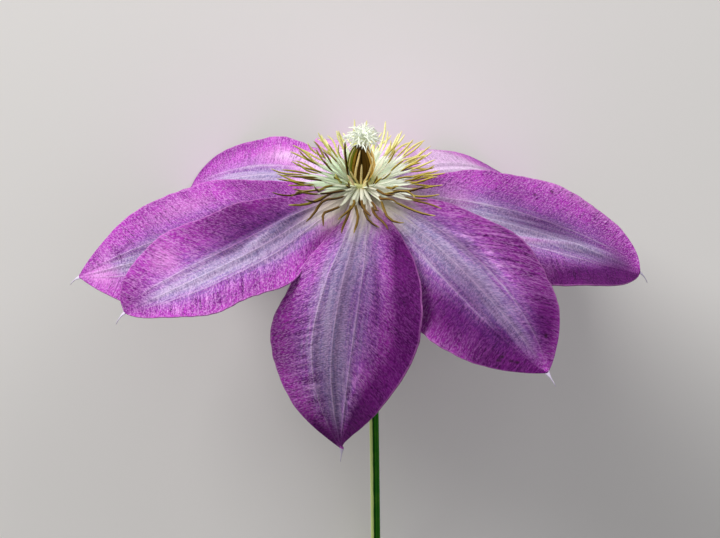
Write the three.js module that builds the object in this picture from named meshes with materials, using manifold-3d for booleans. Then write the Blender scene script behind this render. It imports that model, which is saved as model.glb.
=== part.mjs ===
// Clematis flower on a cut stem, lying on its back tepals and the stem's end. Millimetres, +Z up.
// The flower is built upright round its own centre (+Z out of the face, -Y to the viewer) and laid down last.
import * as THREE from 'three';
import { mergeVertices } from 'three/addons/utils/BufferGeometryUtils.js';
import Module from 'manifold-3d';

const wasm = await Module();
wasm.setup();

// Pose of the cut flower on its surface
const LIE_PITCH = 61;          // degrees the face is tipped over its back edge
const FLOWER_AT = new THREE.Vector3(1, 49.9, 61.7);
const REST_GAP = 0.29;         // height at which a blade's middle layer settles on the surface
const REST_SOFTNESS = 0.6;      // how early a blade starts to bend along the surface

// Tepals
const BLADE = 0.7;             // thickness
const CLAW_START = 3.2;        // radius at which the narrow foot of a tepal begins
const CLAW_HALF = 1.3;
const RIB_RISE = 0.3;
const RIB_SPACING = 0.28;      // of the half width
const RIB_REACH = 0.4;         // of the half width, past which the ribs fade
const WAVE_RISE = 0.7;
const WAVES = 3.1;             // wavelengths along each edge
const WAVE_TURN = 90;          // degrees of azimuth in which the wave shifts by its length
const EDGE_PHASE = 0.25;       // puts the waves of the two edges half a wavelength apart
const RELIEF_FADE = 0.7;       // power that flattens ribs and waves at foot and tip
const BLADE_ROWS = 15;
const ROW_EASE = 0.35;         // draws the rows together towards the tip
const TIP_ROWS = 3;
const TIP_THREAD = 4;          // length of the thread at the tip
const TIP_HALF = 0.36;
const COLUMNS = [-1, -0.74, -0.47, -0.28, -0.14, 0, 0.14, 0.28, 0.47, 0.74, 1];
const STEPS = 48;              // steps along a centre line
const FUSE_TOLERANCE = 0.02;

// Stem and receptacle
const STEM_RADIUS = 1.4;
const STEM_RIBS = 6;
const RIB_DEPTH = 0.16;
const STEM_POINTS = [
  [0.2, 0, -4.4], [1.4, 0.2, -18], [2.9, 0.4, -40], [3.6, 0, -72], [4.1, -1.6, -104], [4.4, -4, -132],
];
const RECEPTACLE = [[0, 0.4], [2.2, 0.4], [2.6, 0], [2.6, -4.6], [2.1, -6.4], [1.3, -9], [0, -9]];

// Stamens
const COLLAR = [[2.55, 0.75], [3.2, 0.75], [3.6, 1.6], [3.3, 2.6], [2.55, 2.8]];
const STAMEN_ROWS = 4;
const STAMEN_HALF = [0.5, 0.6, 0.55, 0.5, 0.2];
const STAMEN_THICK = [0.7, 0.6, 0.7, 0.8, 0.35];
const STAMEN_SINK = [0.3, 0.2];  // how far a root starts inside the collar, outwards and up
const RINGS = [
  { count: 28, root: [3.1, 1.6], length: 20, front: -3, back: 12, curl: 5, bare: 0, seed: 11 },
  { count: 25, root: [3.1, 1.9], length: 18.2, front: 7, back: 21, curl: 8, bare: 0, seed: 23 },
  { count: 20, root: [3.05, 2.2], length: 15, front: 20, back: 36, curl: 12, bare: 20, seed: 37 },
  { count: 15, root: [3.05, 2.3], length: 12, front: 40, back: 57, curl: 10, bare: 58, seed: 41 },
];
const SHORT_STAMENS = {
  azimuths: [-62, -28, 14, 40, 71], root: [2.9, 2.3], rise: 38, length: 7, curl: 34, sway: 0.1,
};

// Pistil
const BARREL = [
  [0, 0.8], [1.7, 0.8], [1.85, 3.4], [2.7, 4.7], [3.2, 7.2], [3.1, 9.3], [2.6, 11.3], [1.7, 12.7], [0, 13.1],
];
const STAVES = 11;
const STAVE_HALF = 0.72;
const STAVE_TIP = 0.35;
const STAVE_THICK = 0.7;
const STAVE_STANDS_OFF = 0.1;
const TUFT_Z = 14.6;
const TUFT_RADIUS = [1.9, 1.15];
const STYLE_ROOT = [1.5, 0.8];  // half axes of the rounded head on which the styles are rooted
const STYLE_ROWS = 4;
const STYLE_HALF = 0.3;
const STYLE_TIP = 0.2;
const STYLE_LIFT = 18;          // degrees by which a style first rises above its tier
const TUFT_TIERS = [
  { count: 8, steep: 4, turn: 0, reach: 4.2, curl: 22 },
  { count: 7, steep: 36, turn: 22, reach: 4.3, curl: 20 },
  { count: 5, steep: 64, turn: 8, reach: 3.9, curl: 15 },
];

// Tepals. First line: heading, sideways sweep, slope at foot and tip (degrees), and height of the foot.
// Second line: outline, by where it is widest, how drawn out it is and how unlike its two sides are.
// Third line: camber across and roll at foot and tip, and how far the thread at the tip turns (degrees).
const TEPALS = [
  {
    name: 'front', azimuth: -21.5, sweep: 22, slope: [3, -108], bend: 0.8, foot: -0.1,
    length: 77, half: 20.6, widest: 0.54, taper: 1.45, skew: -0.05,
    camber: [-24, 15], roll: [-12.5, -10.5], thread: 20, colour: 0x9c4aa6,
  },
  {
    name: 'front_left', azimuth: -66, sweep: -9, slope: [-25, -14], bend: 1, foot: -1.6,
    length: 66, half: 17.2, widest: 0.61, taper: 0.9, skew: -0.03,
    camber: [0, 23], roll: [20, 5], thread: -40, colour: 0xa452ae,
  },
  {
    name: 'left', azimuth: -88, sweep: -3, slope: [-23, -14], bend: 1, foot: -2.5,
    length: 76, half: 20.3, widest: 0.55, taper: 1.1, skew: -0.01,
    camber: [-6, 5], roll: [20, 23], thread: -38, colour: 0xac58b4,
  },
  {
    name: 'back_left', azimuth: -129, sweep: -19, slope: [-11, -35], bend: 1.1, foot: -2.9,
    length: 75, half: 17.2, widest: 0.62, taper: 0.93, skew: -0.06,
    camber: [-16, 22], roll: [5, 19], thread: 0, colour: 0xb262bc,
  },
  {
    name: 'back', azimuth: 175, sweep: 0, slope: [-9.5, -118], bend: 3.1, foot: -0.7,
    length: 75.5, half: 16.6, widest: 0.57, taper: 1.15, skew: 0,
    camber: [-10, 13], roll: [0, 0], thread: 0, colour: 0xb66ac0,
  },
  {
    name: 'back_right', azimuth: 138, sweep: 1, slope: [-6, -41], bend: 1.1, foot: -2.5,
    length: 75, half: 17.2, widest: 0.57, taper: 1.12, skew: 0,
    camber: [-13, 10], roll: [5, -6], thread: 0, colour: 0xb262bc,
  },
  {
    name: 'right', azimuth: 85.5, sweep: -3, slope: [-6, -25], bend: 1.1, foot: -2.3,
    length: 73.5, half: 19.3, widest: 0.59, taper: 0.85, skew: 0.01,
    camber: [-3, 15], roll: [-18, -7], thread: -32, colour: 0xa24eac,
  },
  {
    name: 'front_right', azimuth: 38, sweep: 8, slope: [-4, -29], bend: 0.95, foot: -1.8,
    length: 70.5, half: 18.7, widest: 0.56, taper: 1.1, skew: 0,
    camber: [-14, -23], roll: [-23, -16], thread: -10, colour: 0x984aa2,
  },
];

const rad = THREE.MathUtils.degToRad;
const mix = THREE.MathUtils.lerp;
const clamp = THREE.MathUtils.clamp;

// Closed body between two grids of points, both split along the same diagonals; side 1 faces columns x rows
function gridBody(rows, columns, pointAt) {
  const points = [];
  const faces = [];
  const across = columns + 1;
  const lower = (rows + 1) * across;
  for (const side of [1, -1]) {
    for (let i = 0; i <= rows; i += 1) {
      for (let j = 0; j <= columns; j += 1) {
        points.push(...pointAt(i, j, side).toArray());
      }
    }
  }
  const quad = (a, b, c, d) => faces.push(a, b, c, a, c, d);
  for (let i = 0; i < rows; i += 1) {
    for (let j = 0; j < columns; j += 1) {
      const a = i * across + j;
      quad(a, a + 1, a + across + 1, a + across);
      faces.push(lower + a, lower + a + across + 1, lower + a + 1);
      faces.push(lower + a, lower + a + across, lower + a + across + 1);
    }
    const left = i * across;
    const right = left + columns;
    quad(left, left + across, lower + left + across, lower + left);
    quad(right, lower + right, lower + right + across, right + across);
  }
  for (let j = 0; j < columns; j += 1) {
    const end = rows * across + j;
    quad(j, lower + j, lower + j + 1, j + 1);
    quad(end, end + 1, lower + end + 1, lower + end);
  }
  const geometry = new THREE.BufferGeometry();
  geometry.setAttribute('position', new THREE.Float32BufferAttribute(points, 3));
  geometry.setIndex(faces);
  return geometry;
}

function toManifold(geometry) {
  const plain = geometry.clone();
  plain.deleteAttribute('normal');
  plain.deleteAttribute('uv');
  const merged = mergeVertices(plain, 1e-4);
  const vertProperties = new Float32Array(merged.attributes.position.array);
  const triVerts = new Uint32Array(merged.index.array);
  return new wasm.Manifold(new wasm.Mesh({ numProp: 3, vertProperties, triVerts }));
}

// Joins bodies into one, without the slivers that their crossings leave
function fuse(geometries) {
  let body = toManifold(geometries[0]);
  for (const geometry of geometries.slice(1)) {
    body = body.add(toManifold(geometry));
  }
  const mesh = body.simplify(FUSE_TOLERANCE).getMesh();
  const geometry = new THREE.BufferGeometry();
  geometry.setAttribute('position', new THREE.Float32BufferAttribute(mesh.vertProperties, 3));
  geometry.setIndex([...mesh.triVerts]);
  return geometry;
}

// Repeatable scatter in -1..1
function scatter(seed) {
  let state = seed;
  return () => {
    state = (state * 16807) % 2147483647;
    return 2 * (state / 2147483647) - 1;
  };
}

// Lifts what would sink into the surface that the flower lies on
const restNormal = new THREE.Vector3(0, -Math.sin(rad(LIE_PITCH)), Math.cos(rad(LIE_PITCH)));
function settle(point) {
  const height = FLOWER_AT.z + point.dot(restNormal);
  const over = height - REST_GAP;
  const settled = REST_GAP + (over + Math.hypot(over, 2 * REST_SOFTNESS)) / 2;
  return point.addScaledVector(restNormal, settled - height);
}

// Half width of a tepal at x along it: a narrow foot, widest past the middle, drawn out to the tip
function halfWidth(tepal, x, side) {
  const widest = tepal.widest + side * tepal.skew;
  const rise = tepal.taper;
  const fall = (tepal.taper * (1 - widest)) / widest;
  const inside = clamp(x, 0, 1);
  const leaf = (inside / widest) ** rise * ((1 - inside) / (1 - widest)) ** fall;
  return Math.max(CLAW_HALF * (1 - inside) ** 4 + tepal.half * leaf, TIP_HALF);
}

function direction(azimuth, slope) {
  const flat = Math.cos(slope);
  return new THREE.Vector3(Math.sin(azimuth) * flat, -Math.cos(azimuth) * flat, Math.sin(slope));
}

// Heading and slope of a tepal's centre line at x; past 1 is the thread at its tip
function course(tepal, x) {
  const inside = clamp(x, 0, 1);
  const azimuth = rad(tepal.azimuth + tepal.sweep * (1 - inside) ** 2);
  const slope = rad(mix(tepal.slope[0], tepal.slope[1], inside ** tepal.bend));
  return { azimuth, slope };
}

function centreLine(tepal) {
  const start = course(tepal, 0).azimuth;
  const line = [direction(start, 0).multiplyScalar(CLAW_START).add(new THREE.Vector3(0, 0, tepal.foot))];
  for (let k = 0; k < STEPS; k += 1) {
    const before = course(tepal, k / STEPS);
    const after = course(tepal, (k + 1) / STEPS);
    const step = direction(before.azimuth, before.slope).add(direction(after.azimuth, after.slope));
    line.push(line[k].clone().addScaledVector(step, tepal.length / STEPS / 2));
  }
  return line;
}

function tepalBody(tepal) {
  const line = centreLine(tepal);
  const rows = BLADE_ROWS + TIP_ROWS;
  const pointAt = (i, j, side) => {
    const along = Math.min(i / BLADE_ROWS, 1);
    const x = mix(along, along * (2 - along), ROW_EASE);
    const t = COLUMNS[j];
    const { azimuth, slope } = course(tepal, x);
    const ahead = direction(azimuth, slope);
    const across = new THREE.Vector3(Math.cos(azimuth), Math.sin(azimuth), 0);
    const down = across.clone().cross(ahead);
    const roll = rad(mix(tepal.roll[0], tepal.roll[1], x));
    const u = across.clone().multiplyScalar(Math.cos(roll)).addScaledVector(down, Math.sin(roll));
    const v = across.clone().multiplyScalar(-Math.sin(roll)).addScaledVector(down, Math.cos(roll));
    const camber = rad(mix(tepal.camber[0], tepal.camber[1], x) + 0.01);
    const half = halfWidth(tepal, x, Math.sign(t));
    const angle = camber * t;
    const at = Math.min(x * STEPS, STEPS - 1e-6);
    const point = line[Math.floor(at)].clone().lerp(line[Math.floor(at) + 1], at % 1);
    point.addScaledVector(u, (half / camber) * Math.sin(angle));
    point.addScaledVector(v, (half / camber) * (Math.cos(angle) - 1));
    const up = u.clone().multiplyScalar(-Math.sin(angle)).addScaledVector(v, -Math.cos(angle));
    const turn = WAVES * x + EDGE_PHASE * Math.sign(t) + tepal.azimuth / WAVE_TURN;
    const wave = WAVE_RISE * Math.abs(t) ** 3 * Math.sin(2 * Math.PI * turn);
    const rib = RIB_RISE * Math.cos((2 * Math.PI * t) / RIB_SPACING) * Math.exp(-((t / RIB_REACH) ** 4));
    point.addScaledVector(up, (wave + rib) * Math.sin(Math.PI * x) ** RELIEF_FADE);
    if (i > BLADE_ROWS) {
      const past = (i - BLADE_ROWS) / TIP_ROWS;
      const turned = ahead.clone().addScaledVector(up, Math.sin(rad(tepal.thread)) * past).normalize();
      point.addScaledVector(turned, TIP_THREAD * past);
    }
    settle(point);
    return point.addScaledVector(up, (-side * BLADE) / 2);
  };
  return gridBody(rows, COLUMNS.length - 1, pointAt);
}

// Strap-like body along points, with its width and thickness given at each
function strap(points, halves, thicks, outward) {
  const rows = points.length - 1;
  return gridBody(rows, 1, (i, j, side) => {
    const ahead = points[Math.min(i + 1, rows)].clone().sub(points[Math.max(i - 1, 0)]).normalize();
    const across = ahead.clone().cross(outward).normalize();
    const up = across.clone().cross(ahead).normalize();
    const t = 2 * j - 1;
    const point = points[i].clone().addScaledVector(across, t * halves[i]);
    return point.addScaledVector(up, (side * thicks[i]) / 2);
  });
}

function stamen(azimuth, { rise, root, length, curl, sway }) {
  const outward = direction(rad(azimuth), 0);
  const sideways = new THREE.Vector3(-outward.y, outward.x, 0);
  const points = [outward.clone().multiplyScalar(root[0] - STAMEN_SINK[0]).setZ(root[1] - STAMEN_SINK[1])];
  for (let k = 0; k < STAMEN_ROWS; k += 1) {
    const x = (k + 0.5) / STAMEN_ROWS;
    const angle = rad(rise + curl * (2 * x - 1) * Math.abs(2 * x - 1));
    const step = outward.clone().multiplyScalar(Math.cos(angle)).setZ(Math.sin(angle));
    step.addScaledVector(sideways, sway * x * x);
    points.push(points[k].clone().addScaledVector(step, length / STAMEN_ROWS));
  }
  return strap(points, STAMEN_HALF, STAMEN_THICK, new THREE.Vector3(0, 0, 1).addScaledVector(outward, -0.3));
}

function lathe(profile, segments) {
  const points = profile.map(([r, z]) => new THREE.Vector2(r, z));
  return new THREE.LatheGeometry(points, segments).rotateX(Math.PI / 2);
}

function stamenBody() {
  const parts = [lathe([...COLLAR, COLLAR[0]], 20)];
  for (const ring of RINGS) {
    const random = scatter(ring.seed);
    for (let k = 0; k < ring.count; k += 1) {
      const azimuth = ((k + 0.5) * 360) / ring.count - 180 + 4 * random();
      if (Math.abs(azimuth) < ring.bare) {
        continue;
      }
      const toBack = (1 - Math.cos(rad(azimuth))) / 2;
      const rise = mix(ring.front, ring.back, toBack) + 4 * random();
      const length = ring.length * (1 + 0.1 * random());
      const curl = ring.curl * (1 + 0.8 * random());
      parts.push(stamen(azimuth, { rise, root: ring.root, length, curl, sway: 0.22 * random() }));
    }
  }
  for (const azimuth of SHORT_STAMENS.azimuths) {
    parts.push(stamen(azimuth, SHORT_STAMENS));
  }
  return fuse(parts);
}

function pistilBody() {
  const parts = [lathe(BARREL, 16)];
  const random = scatter(7);
  for (let k = 0; k < STAVES; k += 1) {
    const azimuth = rad((k * 360) / STAVES + 6 * random());
    const outward = direction(azimuth, 0);
    const top = k % 2 ? 8 : 6;
    const layout = BARREL.slice(2, top);
    const points = layout.map(([r, z]) => outward.clone().multiplyScalar(r + STAVE_STANDS_OFF).setZ(z));
    const halves = points.map((_, i) => (i === points.length - 1 ? STAVE_TIP : STAVE_HALF));
    parts.push(strap(points, halves, points.map(() => STAVE_THICK), outward));
  }
  return fuse(parts);
}

// Curling white styles that spread in tiers from the rounded top of the pistil
function tuftBody() {
  const dome = new THREE.SphereGeometry(TUFT_RADIUS[0], 14, 8).rotateX(Math.PI / 2);
  dome.scale(1, 1, TUFT_RADIUS[1] / TUFT_RADIUS[0]).translate(0, 0, TUFT_Z);
  const parts = [dome];
  const random = scatter(53);
  for (const tier of TUFT_TIERS) {
    for (let k = 0; k < tier.count; k += 1) {
      const azimuth = rad(tier.turn + (k * 360) / tier.count + 4 * random());
      const outward = direction(azimuth, 0);
      const reach = tier.reach * (1 + 0.12 * random());
      const bow = 5 * random();
      const points = [outward.clone().multiplyScalar(STYLE_ROOT[0] * Math.cos(rad(tier.steep)))];
      points[0].setZ(TUFT_Z + STYLE_ROOT[1] * Math.sin(rad(tier.steep)));
      for (let n = 0; n < STYLE_ROWS; n += 1) {
        const angle = rad(tier.steep + STYLE_LIFT + bow - tier.curl * n);
        const step = outward.clone().multiplyScalar(Math.cos(angle)).setZ(Math.sin(angle));
        points.push(points[n].clone().addScaledVector(step, reach / STYLE_ROWS));
      }
      const halves = points.map((_, n) => (n === STYLE_ROWS ? STYLE_TIP : STYLE_HALF));
      const up = new THREE.Vector3(0, 0, 1).addScaledVector(outward, 0.4);
      parts.push(strap(points, halves, halves.map((half) => 2 * half), up));
    }
  }
  return fuse(parts);
}

function stemBody() {
  const outline = new THREE.Shape();
  const corners = 3 * STEM_RIBS;
  for (let k = 0; k < corners; k += 1) {
    const angle = (2 * Math.PI * k) / corners;
    const radius = STEM_RADIUS - (k % 3 === 0 ? RIB_DEPTH : 0);
    const point = [radius * Math.cos(angle), radius * Math.sin(angle)];
    if (k === 0) {
      outline.moveTo(...point);
    } else {
      outline.lineTo(...point);
    }
  }
  const path = new THREE.CatmullRomCurve3(STEM_POINTS.map((point) => new THREE.Vector3(...point)));
  const stalk = new THREE.ExtrudeGeometry(outline, { steps: 16, bevelEnabled: false, extrudePath: path });
  return fuse([stalk, lathe([...RECEPTACLE].reverse(), 18)]);
}

const clematis = new THREE.Group();
clematis.name = 'clematis';

function addPart(name, geometry, colour, roughness) {
  geometry.rotateX(-rad(LIE_PITCH)).translate(FLOWER_AT.x, FLOWER_AT.y, FLOWER_AT.z);
  geometry.computeVertexNormals();
  const mesh = new THREE.Mesh(geometry, new THREE.MeshStandardMaterial({ color: colour, roughness }));
  mesh.name = name;
  clematis.add(mesh);
}

addPart('stem', stemBody(), 0x7fa650, 0.6);
addPart('stamens', stamenBody(), 0xe6d79a, 0.6);
addPart('pistil', pistilBody(), 0x6b5420, 0.6);
addPart('stigma_tuft', tuftBody(), 0xf1efdc, 0.7);
for (const tepal of TEPALS) {
  addPart(`tepal_${tepal.name}`, tepalBody(tepal), tepal.colour, 0.55);
}

export default clematis;
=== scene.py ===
# Clematis flower on a cut stem, lying on its back petals. Metres; flower space has its origin at the flower's
# centre, +Z out of the face and -Y to the viewer, and place_piece turns it to its place on the surface.
from math import cos, pi, radians, sin

import bpy
import numpy as np
from mathutils import Matrix, Vector, noise


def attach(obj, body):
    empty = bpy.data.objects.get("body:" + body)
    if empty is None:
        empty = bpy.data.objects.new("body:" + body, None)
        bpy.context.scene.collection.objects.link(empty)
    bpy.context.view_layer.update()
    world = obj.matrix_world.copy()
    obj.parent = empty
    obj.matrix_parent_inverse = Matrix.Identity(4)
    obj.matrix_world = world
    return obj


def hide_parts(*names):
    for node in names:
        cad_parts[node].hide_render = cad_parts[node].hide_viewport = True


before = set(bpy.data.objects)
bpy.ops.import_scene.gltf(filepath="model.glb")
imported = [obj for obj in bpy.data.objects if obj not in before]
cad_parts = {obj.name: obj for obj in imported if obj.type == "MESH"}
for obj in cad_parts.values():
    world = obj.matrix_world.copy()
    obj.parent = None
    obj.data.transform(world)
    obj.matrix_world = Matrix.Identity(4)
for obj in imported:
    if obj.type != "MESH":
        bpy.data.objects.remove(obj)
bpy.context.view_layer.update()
MM = 0.001

# Pose on the surface
LIE_PITCH = radians(61)
FLOWER_AT = Vector((1, 49.9, 61.7)) * MM
REST_GAP = 0.29 * MM
REST_SOFTNESS = 0.6 * MM
REST_NORMAL = np.array([0, -sin(LIE_PITCH), cos(LIE_PITCH)])
LIE = Matrix.Translation(FLOWER_AT) @ Matrix.Rotation(-LIE_PITCH, 4, "X")

# Petals
BLADE = 0.3 * MM
CLAW_START = 3.2 * MM
CLAW_HALF = 1.3 * MM
TIP_HALF = 0.36 * MM
RIB_RISE = 0.27 * MM
RIB_SPACING = 0.28
RIB_REACH = 0.4
WAVE_RISE = 0.7 * MM
WAVES = 3.1
WAVE_TURN = 90
EDGE_PHASE = 0.25
RELIEF_FADE = 0.7
MARGIN_START = 0.25  # beside the midrib, as a share of the half width: more pleats and fewer folds
MARGIN_FADE = 0.3
STEPS = 48
BLADE_ROWS = 168
BLADE_COLUMNS = 96
VEIN_TURN = 4  # mm beside the midrib within which a side vein turns to its lean
PLEAT_RISE = 0.06 * MM  # fine pleats that follow the side veins
CREPE_RISE = 0.09 * MM
WRINKLE_RISE = 0.17 * MM  # where a petal is rough
FOLD_RISE = 0.2 * MM
EDGE_NIBBLE = 0.018  # unevenness of the outline, as a share of the half width
EDGE_WAVER = (5, 3)  # turns of its slow and fine part along a petal, and how far the two sides differ
EDGE_NICKS = (24, 1)
# Turns a mm of the relief: pleats and wrinkles across and along the side veins, crepe and folds of the petal
PLEAT_GRAIN = (0.62, 0.1)
WRINKLE_GRAIN = (0.5, 0.12)
CREPE_GRAIN = (0.8, 0.6)
FOLD_GRAIN = (0.3, 0.045)
CREASE_SHADE = 1.2  # how much broader a crease's painted shade is than its fold
THREAD_LENGTH = 4 * MM
THREAD_INSIDE = 1.2 * MM  # how far a thread is sunk in its petal
THREAD_ROWS = 9
THREAD_TURN = 0.45  # share of a thread over which its colour turns pale
THREAD_ROOT = 0.75 * MM
THREAD_END = 0.09 * MM

PETALS = [
    dict(name="front", azimuth=-21.5, sweep=22, slope=(3, -108), bend=0.8, foot=-0.1, length=77,
         half=20.6, widest=0.54, taper=1.45, skew=-0.05, camber=(-24, 15), roll=(-12.5, -10.5), thread=20),
    dict(name="front_left", azimuth=-66, sweep=-9, slope=(-25, -14), bend=1, foot=-1.6, length=66,
         half=17.2, widest=0.61, taper=0.9, skew=-0.03, camber=(0, 23), roll=(20, 5), thread=-40),
    dict(name="left", azimuth=-88, sweep=-3, slope=(-23, -14), bend=1, foot=-2.5, length=76,
         half=20.3, widest=0.55, taper=1.1, skew=-0.01, camber=(-6, 5), roll=(20, 23), thread=-38),
    dict(name="back_left", azimuth=-129, sweep=-19, slope=(-11, -35), bend=1.1, foot=-2.9, length=75,
         half=17.2, widest=0.62, taper=0.93, skew=-0.06, camber=(-16, 22), roll=(5, 19), thread=0),
    dict(name="back", azimuth=175, sweep=0, slope=(-9.5, -118), bend=3.1, foot=-0.7, length=75.5,
         half=16.6, widest=0.57, taper=1.15, skew=0, camber=(-10, 13), roll=(0, 0), thread=0),
    dict(name="back_right", azimuth=138, sweep=1, slope=(-6, -41), bend=1.1, foot=-2.5, length=75,
         half=17.2, widest=0.57, taper=1.12, skew=0, camber=(-13, 10), roll=(5, -6), thread=0),
    dict(name="right", azimuth=85.5, sweep=-3, slope=(-6, -25), bend=1.1, foot=-2.3, length=73.5,
         half=19.3, widest=0.59, taper=0.85, skew=0.01, camber=(-3, 15), roll=(-18, -7), thread=-32),
    dict(name="front_right", azimuth=38, sweep=8, slope=(-4, -29), bend=0.95, foot=-1.8, length=70.5,
         half=18.7, widest=0.56, taper=1.1, skew=0, camber=(-14, -23), roll=(-23, -16), thread=-10),
]
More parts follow.
